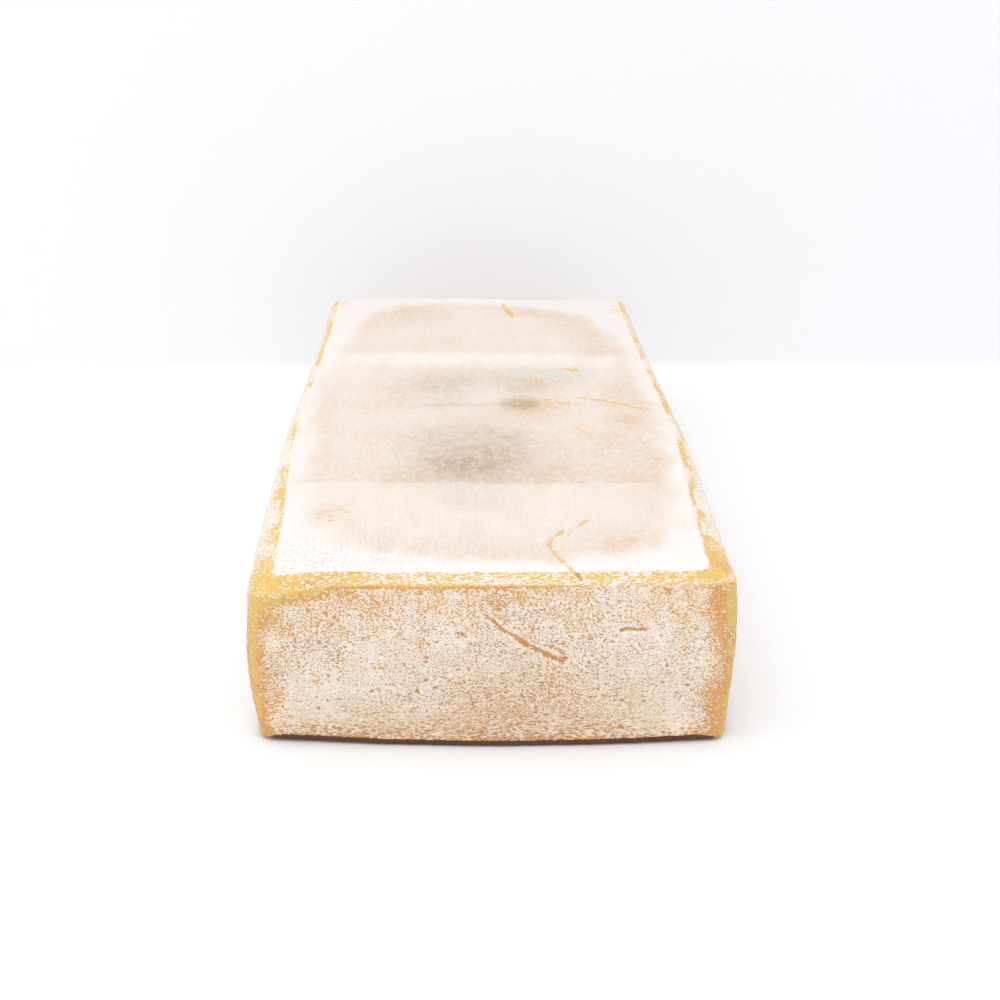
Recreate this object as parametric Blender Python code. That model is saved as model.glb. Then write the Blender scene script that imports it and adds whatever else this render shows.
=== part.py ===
"""A pressed, washed-rind cheese loaf, as one solid.

It is a long block that stands steadily on three places of its base, the corners of a flat triangle. A
bevelled rim runs round the top, inside it a plateau that the press plate and its cloth left, with two
straight cloth folds across it. The side walls belly out and tuck in at the foot, the end walls bow out at
theirs, and the bottom corners lift a little off the table. Shallow cracks cross the top and the front end.

Metres, +Z up. The length lies along Y with the front end at -Y, and the origin is at the bottom centre of
the loaf's box.
"""

import math

import bmesh
import bpy
from mathutils import Matrix, Vector, noise

# Driving dimensions
WIDTH = 0.1508
LENGTH = 0.384
RIDGE_HEIGHT = 0.0528
PLATEAU_RISE = 0.0018
CORNER_RADIUS = 0.0055
FOOT_RADIUS = 0.0022

# How the pressed block has settled
SIDE_BELLY = 0.0025
SIDE_BELLY_Y = -0.045
SIDE_BELLY_SPREAD = 0.100
END_BOW = 0.0037
END_BOW_X = 0.012
END_BOW_HALF = 0.0655
FRONT_LEFT_DROOP = 0.0024
DROOP_REACH = 0.026
CORNER_LIFTS = {"front left": 0.0012, "front right": 0.0006, "back left": 0.0008, "back right": 0.0010}
LIFT_ACROSS = (0.15, 0.47)
LIFT_ALONG = (0.40, 0.50)
LIFT_FADES_AT = 0.016
CROWN = 0.0014
CROWN_X = -0.032
CROWN_Y = 0.165
CROWN_SPREAD = 0.055

# Low lumps: how high they are, and how far they reach
WALL_LUMPS = 0.00055
WALL_LUMP_SIZE = 0.030
WALL_LUMPS_FADE_IN = 0.15
TOP_LUMPS = 0.00045
TOP_LUMP_SIZE = 0.045
RIDGE_LUMPS = 0.00045
RIDGE_LUMP_SIZE = 0.035
LAYERS_APART = 7.3

# A side wall's profile from the ridge down: height over the base, and how far the wall stands out there
SIDE_PROFILE = (
    (RIDGE_HEIGHT, 0.0),
    (0.0495, 0.0003),
    (0.0450, 0.0006),
    (0.0390, 0.0009),
    (0.0320, 0.0010),
    (0.0250, 0.0008),
    (0.0180, 0.0002),
    (0.0120, -0.0006),
    (0.0070, -0.0013),
    (0.0038, -0.0017),
    (FOOT_RADIUS, -0.0019),
)
# The foot's rounding goes on from there, in these shares of its radius
FOOT_STEPS = (0.55, 0.2, 0.0)
RIGHT_TUCK = 0.65

# The bevelled rim: wide at the front, narrower along the back half of the sides and at the back end
RIM_AT_FRONT = 0.0062
RIM_AT_BACK = 0.0034
RIM_AT_SIDES = 0.0018
RIM_NARROWS_FROM = -0.165
RIM_NARROW_AT = -0.020
PLATEAU_EASE = 0.0030

# How many rim widths inside the ridge the plateau has its full height, and where its own relief sets in
PLATEAU_FULL_AT = 1.15
RELIEF_FROM = 0.8
RELIEF_FULL_AT = 2.0

# The cloth folds across the plateau: y at the middle, the fold's slant, and how far it bows backwards
FOLDS = ((-0.1015, -0.004, 0.0), (0.0790, -0.018, -0.008))
FOLD_DEPTH = 0.0005
FOLD_STEP = 0.0004
FOLD_WIDTH = 0.0030
FOLD_STEP_WIDTHS_OFF = 2.0

# The mesh: cells of about this size, with closer rows over the rim
CELL = 0.0062
RIM_CELLS = 3

# The base: a flat triangle that it rests on, with one corner at the back, and a slight rise to the foot
REST_WIDTH = 0.122
REST_LENGTH = 0.320
FOOT_RISE = 0.0004

# The cracks, as points in millimetres: x and y on the top, x and z on the front end
TOP_CRACK = ((35, -136), (30, -145), (25, -152), (20, -157), (19.8, -165), (22, -173), (24, -181), (26, -188))
FRONT_CRACK = ((-3, 43), (1, 39.5), (6, 36), (11.5, 32.5), (17, 29.5), (21.5, 27.5))
FRONT_MARK = ((40.5, 37.5), (45, 38), (49.5, 37.5))
CRACK_WIDTH = 0.0017
CRACK_DEPTH = 0.0008
CRACK_END_SHARE = 0.35
CUTTER_STANDS_OUT = 0.0006

RIND_COLOUR = (0.86, 0.72, 0.55, 1.0)
RIND_ROUGHNESS = 0.75
SHARP_FROM = math.radians(35)


def clear_scene():
    for obj in list(bpy.data.objects):
        bpy.data.objects.remove(obj)


def smooth_step(value, low, high):
    """0 at low, 1 at high, easing at both ends."""
    t = min(1.0, max(0.0, (value - low) / (high - low)))
    return t * t * (3.0 - 2.0 * t)


def lumps(x, y, z, size, layer):
    """A smooth number from -1 to 1 that changes over about the given size."""
    return noise.noise(Vector((x / size, y / size, z / size + LAYERS_APART * layer)))


def half_width(y):
    """Half the ridge's width: the sides belly out a little ahead of the middle."""
    return WIDTH / 2 + SIDE_BELLY * math.exp(-(((y - SIDE_BELLY_Y) / SIDE_BELLY_SPREAD) ** 2))


def rim_at_side(y):
    """The rim's width along a side, which narrows from the front corner to the middle."""
    return RIM_AT_FRONT + (RIM_AT_SIDES - RIM_AT_FRONT) * smooth_step(y, RIM_NARROWS_FROM, RIM_NARROW_AT)


def stations(half, low_rim, high_rim, cells):
    """Positions from -half to half: close rows over each rim, one just inside it, and even cells between."""
    low = [-half + low_rim * i / RIM_CELLS for i in range(RIM_CELLS + 1)]
    high = [half - high_rim * i / RIM_CELLS for i in range(RIM_CELLS + 1)]
    start = low[-1] + PLATEAU_EASE
    stop = high[-1] - PLATEAU_EASE
    even = cells - 2 * (RIM_CELLS + 1)
    middle = [start + (stop - start) * i / even for i in range(even + 1)]
    return low + middle + high[::-1]


def cells_along(length):
    """How many cells a row of stations has, at about CELL for each of the even ones."""
    return 2 * (RIM_CELLS + 1) + round((length - 2 * (RIM_AT_FRONT + PLATEAU_EASE)) / CELL)


def rounded(x, y, half_x, half_y):
    """A plan point moved into the rounded outline, and the way that the outline faces there."""
    inner = Vector((half_x - CORNER_RADIUS, half_y - CORNER_RADIUS))
    over_x = max(0.0, abs(x) - inner.x) / CORNER_RADIUS
    over_y = max(0.0, abs(y) - inner.y) / CORNER_RADIUS
    round_x = over_x * math.sqrt(1 - over_y**2 / 2)
    round_y = over_y * math.sqrt(1 - over_x**2 / 2)
    base = Vector((min(abs(x), inner.x), min(abs(y), inner.y)))
    place = base + CORNER_RADIUS * Vector((round_x, round_y))
    facing = Vector((round_x, round_y))
    if facing.length > 0:
        facing.normalize()
    signs = Vector((math.copysign(1, x), math.copysign(1, y)))
    return place * signs, facing * signs


def ridge_height(x, y):
    """The ridge's height over the base: lumpy, crowned at the back, drooping at the front left corner."""
    to_corner = Vector((x + WIDTH / 2, y + LENGTH / 2)).length
    droop = FRONT_LEFT_DROOP * (1 - smooth_step(to_corner, 0.0, DROOP_REACH))
    to_crown = Vector((x - CROWN_X, y - CROWN_Y)).length / CROWN_SPREAD
    crown = CROWN * math.exp(-(to_crown**2))
    return RIDGE_HEIGHT - droop + crown + RIDGE_LUMPS * lumps(x, y, 0, RIDGE_LUMP_SIZE, 1)


def fold_relief(x, y):
    """The height that the cloth folds add: a narrow groove, and a low step up on the side nearer the front."""
    relief = 0.0
    across = x / (WIDTH / 2)
    for middle, slant, bow in FOLDS:
        line = middle + slant * across / 2 - bow * across**2
        away = (y - line) / FOLD_WIDTH
        relief -= FOLD_DEPTH * math.exp(-(away**2))
        relief += FOLD_STEP * math.exp(-((away / FOLD_STEP_WIDTHS_OFF + 1) ** 2))
    return relief


def top_height(x, y):
    """The height of the top over the base at a plan point."""
    side = (half_width(y) - abs(x)) / rim_at_side(y)
    end = (LENGTH / 2 - abs(y)) / (RIM_AT_FRONT if y < 0 else RIM_AT_BACK)
    inside = min(side, end)
    if max(side, end) < RELIEF_FULL_AT:
        inside = RELIEF_FULL_AT - math.hypot(RELIEF_FULL_AT - side, RELIEF_FULL_AT - end)
    plateau = smooth_step(inside, 0.0, PLATEAU_FULL_AT)
    relief = TOP_LUMPS * lumps(x, y, 0, TOP_LUMP_SIZE, 2) + fold_relief(x, y)
    relief *= smooth_step(inside, RELIEF_FROM, RELIEF_FULL_AT)
    return ridge_height(x, y) + PLATEAU_RISE * plateau + relief


def wall_heights():
    """The heights of the wall's rows over the base, from the ridge down."""
    return [height for height, _ in SIDE_PROFILE] + [share * FOOT_RADIUS for share in FOOT_STEPS]


def side_out(height):
    """How far a side wall stands out from the ridge at a height, without the foot's rounding."""
    for (high, high_out), (low, low_out) in zip(SIDE_PROFILE, SIDE_PROFILE[1:]):
        if height >= low:
            share = (high - height) / (high - low)
            return high_out + (low_out - high_out) * share
    return SIDE_PROFILE[-1][1]


def foot_rounding(height):
    """How far the foot's rounding takes the wall in."""
    below = max(0.0, FOOT_RADIUS - height)
    return FOOT_RADIUS - math.sqrt(FOOT_RADIUS**2 - below**2)


def end_out(height, x):
    """How far an end wall stands out from the ridge: it bellies like the sides, and its foot bows out."""
    bow = END_BOW * (1 - ((x - END_BOW_X) / END_BOW_HALF) ** 2)
    return max(0.0, side_out(height)) + bow * smooth_step(1 - height / RIDGE_HEIGHT, 0.0, 1.0)


def stand_out(height, x, y, facing):
    """How far the wall stands out from the ridge's outline at a height."""
    side = side_out(height)
    if x > 0 and side < 0:
        side *= RIGHT_TUCK
    end_share = facing.y**2
    out = side + (end_out(height, x) - side) * end_share
    fade = smooth_step(1 - height / RIDGE_HEIGHT, 0.0, WALL_LUMPS_FADE_IN)
    lumpy = WALL_LUMPS * lumps(x, y, height, WALL_LUMP_SIZE, 3) * fade
    return out + lumpy - foot_rounding(height)


def corner_lift(x, y, height):
    """How far the foot is lifted off the table near a corner."""
    corner = ("front" if y < 0 else "back") + (" left" if x < 0 else " right")
    near_side = smooth_step(abs(x) / WIDTH, *LIFT_ACROSS)
    near_end = smooth_step(abs(y) / LENGTH, *LIFT_ALONG)
    return CORNER_LIFTS[corner] * near_side * near_end * (1 - smooth_step(height, 0.0, LIFT_FADES_AT))


def wall_point(x, y, height, half_x, half_y):
    """A point of the wall, from its place on the square outline and its height."""
    place, facing = rounded(x, y, half_x, half_y)
    out = stand_out(height, place.x, place.y, facing)
    share = height / RIDGE_HEIGHT
    ridge = ridge_height(place.x, place.y)
    place += facing * out
    foot_rise = FOOT_RISE * (1 - share) + corner_lift(place.x, place.y, height)
    return Vector((place.x, place.y, share * ridge + foot_rise))


def gridded_cube(cells_x, cells_y, cells_z):
    """A unit cube from 0 to 1 whose faces are grids of these cells."""
    mesh = bmesh.new()
    bmesh.ops.create_cube(mesh, size=1.0)
    bmesh.ops.translate(mesh, verts=mesh.verts, vec=(0.5, 0.5, 0.5))
    for axis, cells in enumerate((cells_x, cells_y, cells_z)):
        along = [e for e in mesh.edges if abs(e.verts[0].co[axis] - e.verts[1].co[axis]) > 0.5]
        bmesh.ops.subdivide_edges(mesh, edges=along, cuts=cells - 1, use_grid_fill=True)
    return mesh


def shaped_loaf():
    """The loaf's mesh: a gridded cube with its points moved onto the top and the walls, and a new base."""
    heights = wall_heights()
    cells_x = cells_along(WIDTH)
    cells_y = cells_along(LENGTH)
    cells_z = len(heights) - 1
    rows_y = stations(LENGTH / 2, RIM_AT_FRONT, RIM_AT_BACK, cells_y)
    mesh = gridded_cube(cells_x, cells_y, cells_z)
    underside = [f for f in mesh.faces if f.calc_center_median().z < 0.5 / cells_z and f.normal.z < -0.5]
    bmesh.ops.delete(mesh, geom=underside, context="FACES")
    for vert in mesh.verts:
        i, j, k = (round(c * n) for c, n in zip(vert.co, (cells_x, cells_y, cells_z)))
        y = rows_y[j]
        half_x = half_width(y)
        rim = rim_at_side(y)
        x = stations(half_x, rim, rim, cells_x)[i]
        if i in (0, cells_x) or j in (0, cells_y):
            vert.co = wall_point(x, y, heights[cells_z - k], half_x, LENGTH / 2)
        else:
            place, _ = rounded(x, y, half_x, LENGTH / 2)
            vert.co = Vector((place.x, place.y, top_height(place.x, place.y)))
    close_base(mesh)
    bmesh.ops.recalc_face_normals(mesh, faces=mesh.faces)
    return mesh


def close_base(mesh):
    """Closes the open underside with the flat triangle and the slight rise from it to the foot."""
    foot = [e for e in mesh.edges if e.is_boundary]
    # Three points on a unit circle, the first on +Y, are sqrt(3) wide and 1.5 long, from 1 down to -0.5
    size = Matrix.Diagonal((REST_WIDTH / math.sqrt(3), REST_LENGTH / 1.5, 1.0, 1.0))
    place = Matrix.Translation((0.0, -REST_LENGTH / 6, 0.0)) @ size
    rest = bmesh.ops.create_circle(mesh, cap_ends=True, segments=3, radius=1.0, matrix=place)
    around = {e for v in rest["verts"] for e in v.link_edges}
    bmesh.ops.triangle_fill(mesh, edges=foot + list(around), use_beauty=True, normal=(0, 0, -1))


def new_object(name, mesh, material=None):
    data = bpy.data.meshes.new(name)
    mesh.to_mesh(data)
    mesh.free()
    obj = bpy.data.objects.new(name, data)
    bpy.context.scene.collection.objects.link(obj)
    if material:
        data.materials.append(material)
    return obj


def top_surface(x, y):
    """A point of the top, and the way out of it."""
    return Vector((x, y, top_height(x, y))), Vector((0, 0, 1))


def front_surface(x, z):
    """A point of the front end, and the way out of it."""
    point = wall_point(x, -LENGTH / 2, z, WIDTH / 2, LENGTH / 2)
    return point, Vector((0, -1, 0))


def crack_cutter(name, path, surface):
    """A long wedge that follows a path on a surface, widest at its middle and closing to points at its ends."""
    points = [surface(a * 0.001, b * 0.001) for a, b in path]
    mesh = bmesh.new()
    rings = []
    for n, (point, out) in enumerate(points):
        ahead = points[min(n + 1, len(points) - 1)][0] - points[max(n - 1, 0)][0]
        across = ahead.cross(out).normalized()
        along = (n + 0.5) / len(points)
        open_share = CRACK_END_SHARE + (1 - CRACK_END_SHARE) * math.sin(math.pi * along)
        wide = CRACK_WIDTH / 2 * open_share * (1 + 2 * CUTTER_STANDS_OUT / CRACK_DEPTH)
        top = point + out * CUTTER_STANDS_OUT
        corners = (top - across * wide, top + across * wide, point - out * CRACK_DEPTH * open_share)
        ring = [mesh.verts.new(c) for c in corners]
        rings.append([mesh.edges.new((ring[i], ring[(i + 1) % 3])) for i in range(3)])
    for first, second in zip(rings, rings[1:]):
        bmesh.ops.bridge_loops(mesh, edges=first + second)
    for ring in (rings[0], rings[-1]):
        bmesh.ops.contextual_create(mesh, geom=ring)
    bmesh.ops.recalc_face_normals(mesh, faces=mesh.faces)
    cutter = new_object(name, mesh)
    cutter.hide_render = True
    cutter.display_type = "WIRE"
    return cutter


def cut_cracks(loaf):
    """Cuts each crack into the loaf with a Boolean."""
    cracks = (
        ("top_crack_cutter", TOP_CRACK, top_surface),
        ("front_crack_cutter", FRONT_CRACK, front_surface),
        ("front_mark_cutter", FRONT_MARK, front_surface),
    )
    cutters = []
    for name, path, surface in cracks:
        cutter = crack_cutter(name, path, surface)
        cut = loaf.modifiers.new(name, "BOOLEAN")
        cut.operation = "DIFFERENCE"
        cut.object = cutter
        cutters.append(cutter)
    return cutters


def rind_material():
    material = bpy.data.materials.new("washed_rind")
    material.use_nodes = True
    shader = material.node_tree.nodes["Principled BSDF"]
    shader.inputs["Base Color"].default_value = RIND_COLOUR
    shader.inputs["Roughness"].default_value = RIND_ROUGHNESS
    shader.inputs["Metallic"].default_value = 0.0
    return material


def centre_on_base(objects, mesh):
    """Moves the objects so that the mesh's box has its bottom centre at the origin."""
    low = Vector(min(v.co[i] for v in mesh.vertices) for i in range(3))
    high = Vector(max(v.co[i] for v in mesh.vertices) for i in range(3))
    for obj in objects:
        obj.location = (-(low.x + high.x) / 2, -(low.y + high.y) / 2, -low.z)


def build():
    clear_scene()
    mesh = shaped_loaf()
    loaf = new_object("cheese_loaf", mesh, rind_material())
    loaf.data.shade_smooth()
    loaf.data.set_sharp_from_angle(angle=SHARP_FROM)
    cutters = cut_cracks(loaf)
    centre_on_base([loaf, *cutters], loaf.data)


build()
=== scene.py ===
"""The looks of a pressed, washed-rind cheese loaf.

The rind is one closed mesh over the whole loaf. Its top is a plateau with the imprint of the press cloth, round
it a bevelled rim, and below that walls with a thin, speckled bloom. Numbers the mesh carries at each point say
where the bloom, the stains and the cracks are, and the material breaks their edges up.

Metres, +Z up, the length along Y with the front end at -Y.
"""

import math

import bmesh
import bpy
from mathutils import Matrix, Vector, noise


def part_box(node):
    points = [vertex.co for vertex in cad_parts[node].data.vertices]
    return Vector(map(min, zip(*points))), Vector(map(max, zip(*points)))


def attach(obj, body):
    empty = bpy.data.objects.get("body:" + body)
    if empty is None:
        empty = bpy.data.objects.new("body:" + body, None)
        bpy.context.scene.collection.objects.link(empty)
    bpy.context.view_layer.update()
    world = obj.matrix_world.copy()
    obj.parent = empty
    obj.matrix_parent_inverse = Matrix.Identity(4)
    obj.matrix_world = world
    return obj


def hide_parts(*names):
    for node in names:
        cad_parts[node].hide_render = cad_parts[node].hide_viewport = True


bl_info = {
    "name": "Washed-rind cheese loaf",
    "version": (1, 0, 0),
    "blender": (4, 5, 0),
    "location": "3D View > Sidebar > Cheese",
    "description": "Builds a washed-rind cheese loaf and a plain studio round it",
    "category": "Object",
}

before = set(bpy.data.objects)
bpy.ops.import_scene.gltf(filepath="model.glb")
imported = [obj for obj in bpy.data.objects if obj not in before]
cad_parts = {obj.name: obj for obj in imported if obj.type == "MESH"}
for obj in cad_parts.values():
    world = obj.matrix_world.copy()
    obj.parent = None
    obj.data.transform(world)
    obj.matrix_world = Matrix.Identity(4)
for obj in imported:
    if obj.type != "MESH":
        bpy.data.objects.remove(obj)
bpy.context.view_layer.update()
LOAF_LOW, LOAF_HIGH = (Vector(corner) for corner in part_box("cheese_loaf"))

MM = 0.001

# How the pressed block has settled
SIDE_BELLY = 0.0025
SIDE_BELLY_Y = -0.045
SIDE_BELLY_SPREAD = 0.100
END_BOW = 0.0037
END_BOW_X = 0.012
END_BOW_HALF = 0.0655
FRONT_LEFT_DROOP = 0.0034
DROOP_REACH = 0.032
DROOP_STAYS = 0.8
FRONT_LIFT = 0.0008
FRONT_LIFT_FADES = (0.140, 0.188)
CORNER_LIFTS = {"front left": 0.0006, "front right": 0.0003, "back left": 0.0008, "back right": 0.0010}
LIFT_ACROSS = (0.15, 0.47)
LIFT_ALONG = (0.40, 0.50)
LIFT_FADES_AT = 0.016
FOOT_RISE = 0.0001
CROWN = 0.0014
CROWN_X = -0.032
CROWN_Y = 0.165
CROWN_SPREAD = 0.055

# Low lumps: how high they are, and how far they reach
WALL_LUMPS = 0.00055
WALL_LUMP_SIZE = 0.030
WALL_LUMPS_FADE_IN = 0.15
TOP_LUMPS = 0.00045
TOP_LUMP_SIZE = 0.045
RIDGE_LUMPS = 0.00045
RIDGE_LUMP_SIZE = 0.035
LAYERS_APART = 7.3
ALONG_THE_TOP = 2.5

# A side wall's profile from the ridge down: height over the base, and how far the wall stands out there
SIDE_PROFILE = (
    (0.0528, 0.0),
    (0.0495, 0.0003),
    (0.0450, 0.0006),
    (0.0390, 0.0009),
    (0.0320, 0.0010),
    (0.0250, 0.0008),
    (0.0180, 0.0002),
    (0.0120, -0.0006),
    (0.0070, -0.0013),
    (0.0038, -0.0017),
    (0.0018, -0.0019),
)
RIGHT_TUCK = 0.65

# The bevelled rim, and where along the sides it narrows
RIM_AT_BACK = 0.0034
RIM_AT_SIDES = 0.0018
RIM_SHOWS_AT_SIDES = 0.0042
RIM_SHOWS_ROUND = 1.5
RIM_NARROWS_FROM = -0.165
RIM_NARROW_AT = -0.020
PLATEAU_FULL_AT = 1.15
RELIEF_FROM = 0.8
RELIEF_FULL_AT = 2.0

# The cloth folds across the plateau: y at the middle, the fold's slant, how far it bows backwards, its strength
FOLDS = ((-0.0973, -0.0050, 0.0, 1.0), (0.0820, -0.0030, 0.0020, 0.3))
FOLD_DEPTH = 0.0005
FOLD_STEP = 0.0004
FOLD_WIDTH = 0.0030
FOLD_STEP_WIDTHS_OFF = 2.0

# The underside's flat triangle, and the marks for its points
REST_WIDTH = 0.122
REST_LENGTH = 0.320
UNDERSIDE = -2.0

# The imprint of the press cloth
CLOTH_PITCH = 0.00215
CLOTH_WANDER = 0.0040
CLOTH_WANDERS_OVER = 0.030

# The mesh's cells, in millimetres
RIM_CELLS = 8
BOTH_RIMS = 4.0
ACROSS_CELL = 1.15
NEAR_CELL = 1.15
FAR_CELL = 1.75
NEAR_UNTIL = -135.0
WALL_CELL = 1.0
FOOT_STEPS = (0.8, 0.6, 0.4, 0.2, 0.07, 0.0)

# The cracks, in millimetres: x and y on the top, x and z on the front end, and how wide each stretch is
TOP_CRACKS = (
    ((35, -135, 0.5), (31, -141, 0.8), (28, -145, 0.6), (25.3, -152, 0.8), (22.5, -150.5, 0.7)),
    ((25.0, -147.5, 0.5), (22.5, -150.0, 0.9), (19.8, -155, 1.4), (19.0, -161, 1.3), (20.2, -168, 1.0),
     (21.7, -174, 1.2), (23.6, -179, 0.9), (25.5, -184, 1.9), (27.5, -188, 1.2)),
    ((12.4, 180, 1.6), (13.5, 170, 2.2), (15.5, 160, 3.0), (17.0, 151, 1.6)),
    ((38, 11, 1.3), (48, 7, 1.9), (56, 2, 2.2), (63, -4, 2.4), (68, -8, 1.6)),
    ((-62, -130.0, 0.8), (-56, -127.5, 0.9)),
    ((-55, -127.0, 0.8), (-48.5, -123.5, 0.7)),
    ((-59, -134.0, 0.7), (-53, -131.0, 0.9)),
    ((-52.5, -130.5, 0.7), (-48, -128.0, 0.6)),
    ((-55, -137.0, 0.6), (-49.5, -134.0, 0.7)),
)
FRONT_CRACKS = (
    ((-2.6, 44.3, 1.0), (-0.1, 42.6, 1.3), (2.4, 39.8, 0.9), (6.1, 37.8, 1.0), (10.1, 34.7, 1.6), (13.0, 33.3, 1.0),
     (16.4, 31.6, 1.5), (18.9, 30.2, 1.0), (21.6, 28.9, 1.8), (22.6, 30.8, 1.0), (22.9, 31.8, 0.8)),
    ((15.5, 34.6, 0.5), (17.9, 34.0, 0.7), (21.1, 32.6, 0.7), (22.9, 31.6, 0.8)),
    ((25.3, 31.9, 0.5), (25.1, 30.1, 0.9)),
    ((39.6, 39.2, 1.6), (42.5, 39.8, 1.3), (45.5, 39.2, 0.9), (49.0, 39.7, 1.0)),
    ((-12.2, 38.4, 0.6), (-10.0, 38.6, 1.3), (-8.0, 37.2, 0.6)),
    ((-10.4, 40.4, 0.6), (-9.8, 38.0, 1.0), (-11.0, 36.2, 0.6)),
)

# The largest pits of the front end, in millimetres: x, z and how wide
FRONT_PITS = (
    (-17.9, 20.2, 1.5), (-35.7, 19.5, 1.6), (-44.2, 44.4, 1.6), (-51.5, 44.7, 1.5), (-53.6, 35.5, 1.3),
    (-62.3, 28.7, 1.1), (-61.1, 22.2, 1.3), (-23.4, 19.4, 1.5), (-53.0, 21.0, 0.9), (-49.1, 17.6, 0.8),
    (-17.7, 34.0, 1.2), (-7.4, 26.6, 0.8), (40.3, 6.5, 1.8), (35.4, 21.1, 1.5), (52.1, 37.0, 1.5),
    (46.5, 11.2, 1.3), (61.3, 27.8, 1.2), (53.0, 21.3, 1.2), (37.3, 35.5, 1.1), (6.7, 44.6, 1.6), (43.1, 25.7, 0.9),
)
CRACK_REACH = 3.0
CRACK_DEPTH = 0.0008

# The outline, in millimetres, of the beige middle of the top inside its white border, from the front left
MIDDLE_OUTLINE = (
    (-17, -175), (-40, -167), (-54, -155), (-64.5, -138), (-68, -98), (-67, -50), (-69.5, -18), (-70, 10),
    (-69, 50), (-64, 92), (-61, 130), (-55, 156), (-42, 169), (-22, 178), (27, 175), (45, 162), (55, 144),
    (62, 119), (66.5, 94), (70, 40), (71.5, -6), (71, -30), (67.5, -60), (69, -92), (66, -115), (64.5, -138),
    (60, -158), (48, -170), (22, -178),
)

# Soft oval marks on the top, in millimetres: x and y, the two radii, the strength, and a turn in degrees if any
MOULD_MARKS = (
    (-7, -80, 15, 19, 0.62), (-20, -62, 16, 34, 0.34), (8, -62, 15, 36, 0.40), (-4, -40, 22, 20, 0.22),
    (-22, 24, 15, 24, 0.30), (-2, 36, 22, 20, 0.26), (-14, 0, 14, 3.5, 0.34, 3), (16, 2, 9.0, 8, 1.05),
    (18, 26, 9, 14, 0.34), (-5, -117, 12, 10, 0.14),
)
GREEN_MARKS = (
    (23, 48, 15, 12, 0.60, -10), (38, 42, 11, 10, 0.55, -15), (-12, 20, 8, 26, 0.20), (-6, -112, 9, 14, 0.20),
)
AMBER_MARKS = (
    (39, 53.5, 6.0, 4.5, 1.15, -25), (23, 35, 5.5, 4, 0.80, 10), (15, 2, 4, 6, 0.25), (25, 5, 10, 7, 0.50),
    (34, 1, 8, 5, 0.42), (55, -19, 5, 9, 0.48, 15), (37, -38, 4, 8, 0.45, -10), (46, -52, 4, 14, 0.30, 25),
    (40, 185, 3.5, 7, 0.55), (-57, -130, 5, 5, 0.42), (-51, -122, 4, 4, 0.36), (-44, -115, 4, 3, 0.26),
    (71, 168, 6, 20, 0.60), (-70, 181, 6, 12, 0.60), (23, -179, 3, 5, 0.35),
)
BROWN_MARKS = (
    (-33, 156, 18, 18, 1.10, 10), (-46, 140, 12, 20, 0.45), (24, 161, 14, 10, 0.95), (42, 150, 12, 10, 0.60, -20),
    (54, 112, 9, 24, 0.70), (44, 134, 12, 14, 0.45), (-18, 99, 6, 7, 0.35), (-50, 95, 14, 16, 0.30),
    (51, 80, 10, 11, 0.95), (27, 33, 10, 10, 1.20), (56, 20, 8, 18, 0.85), (-36, 22, 11, 14, 0.60),
    (-46, 2, 12, 10, 0.55), (-66, -8, 6, 20, 0.85), (-50, -60, 22, 60, 0.15), (40, -75, 34, 26, 0.45),
    (56, -22, 7, 12, 1.50, 15), (46, -42, 9, 16, 0.50, 20), (26, -86, 16, 9, 0.50), (66, -80, 5, 20, 0.50),
    (-64, -44, 5, 30, 0.40), (56, 2, 8, 7, 0.70), (20, -6, 16, 10, 1.30), (22, -18, 12, 8, 0.60),
    (66, -6, 6, 10, 0.60), (64, 20, 6, 90, 0.30), (48, -56, 14, 16, 0.45), (52, -94, 14, 6, 0.50),
    (14, -95, 16, 6, 0.50), (-32, -92, 12, 10, 0.50), (46, -156, 11, 8, 0.65), (43, -162, 10, 7, 0.85),
    (-24, -160, 34, 12, 0.25), (8, -168, 36, 9, 0.40), (-54, -127, 9, 9, 0.50), (58, -118, 9, 26, 0.50),
)
CLOTH_MARKS = ((-66, -176, 45, 24, 1.50),)

# The finish has two kinds of pairs: where a change starts and ends, and a line's middle and half its width.
# The top's finish, in millimetres: the edge of its white border, and the shade and the lines of the folds
AT_FRONT_LEFT = {"y": (90, 160), "x": (10, 60)}
AT_FRONT_RIGHT = {"y": (90, 150), "x": (15, 60)}
BORDER_SOFT = 7.0
BORDER_SOFTER_LEFT = 7.0
BORDER_SOFTER_RIGHT = 4.0
BORDER_WANDERS = 4.0
FOLD_WANDERS = 1.5
FOLD_SHADE = 26.0
FOLD_LINE = (0.0, 1.3)
PALE_BAND = (-10.0, 11.0)

# The rim's finish: along the loaf or across it in millimetres, and across the rim in rim widths
LEFT_CORNER = (28, 54)
RIGHT_CORNER = (58, 70)
BACK_CORNERS = (46, 70)
FRONT_END = (150, 186)
BARE_SIDE_AT_FRONT = (152, 182)
BARE_SIDE_AT_BACK = (165, 190)
RIM_EDGE = (1.02, 0.10)
RIM_RIDGE = (0.0, 0.08)
# The rim's lip is a whiter line of painted highlight just above the ridge line
RIM_LIP_HIGHLIGHT = (0.32, 0.10)
RIM_INNER = (0.75, 0.34)

# The walls' finish, in millimetres from a corner, below the ridge, over the foot or over the table
NEAR_CORNER = (3.5, 13.0)
CREST = (1.5, 5.0)
NEAR_RIDGE = (2.0, 22.0)
UNDER_RIDGE = (0.5, 4.0)
ON_RIDGE = (0.0, 0.6)
# Just below the ridge, crumbs of bloom that are partly painted highlight along the crest
RIDGE_CRUMBS_AND_HIGHLIGHT = (0.0, 0.9)
RIDGE_LINE_LEFT = (58, 68)
RIDGE_LINE_RIGHT = (-5, 40)
LEFT_CREST = (38, 56)
UNDER_CREST = (1.6, 1.7)
ABOVE_FOOT = (2.4, 3.6)
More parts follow.
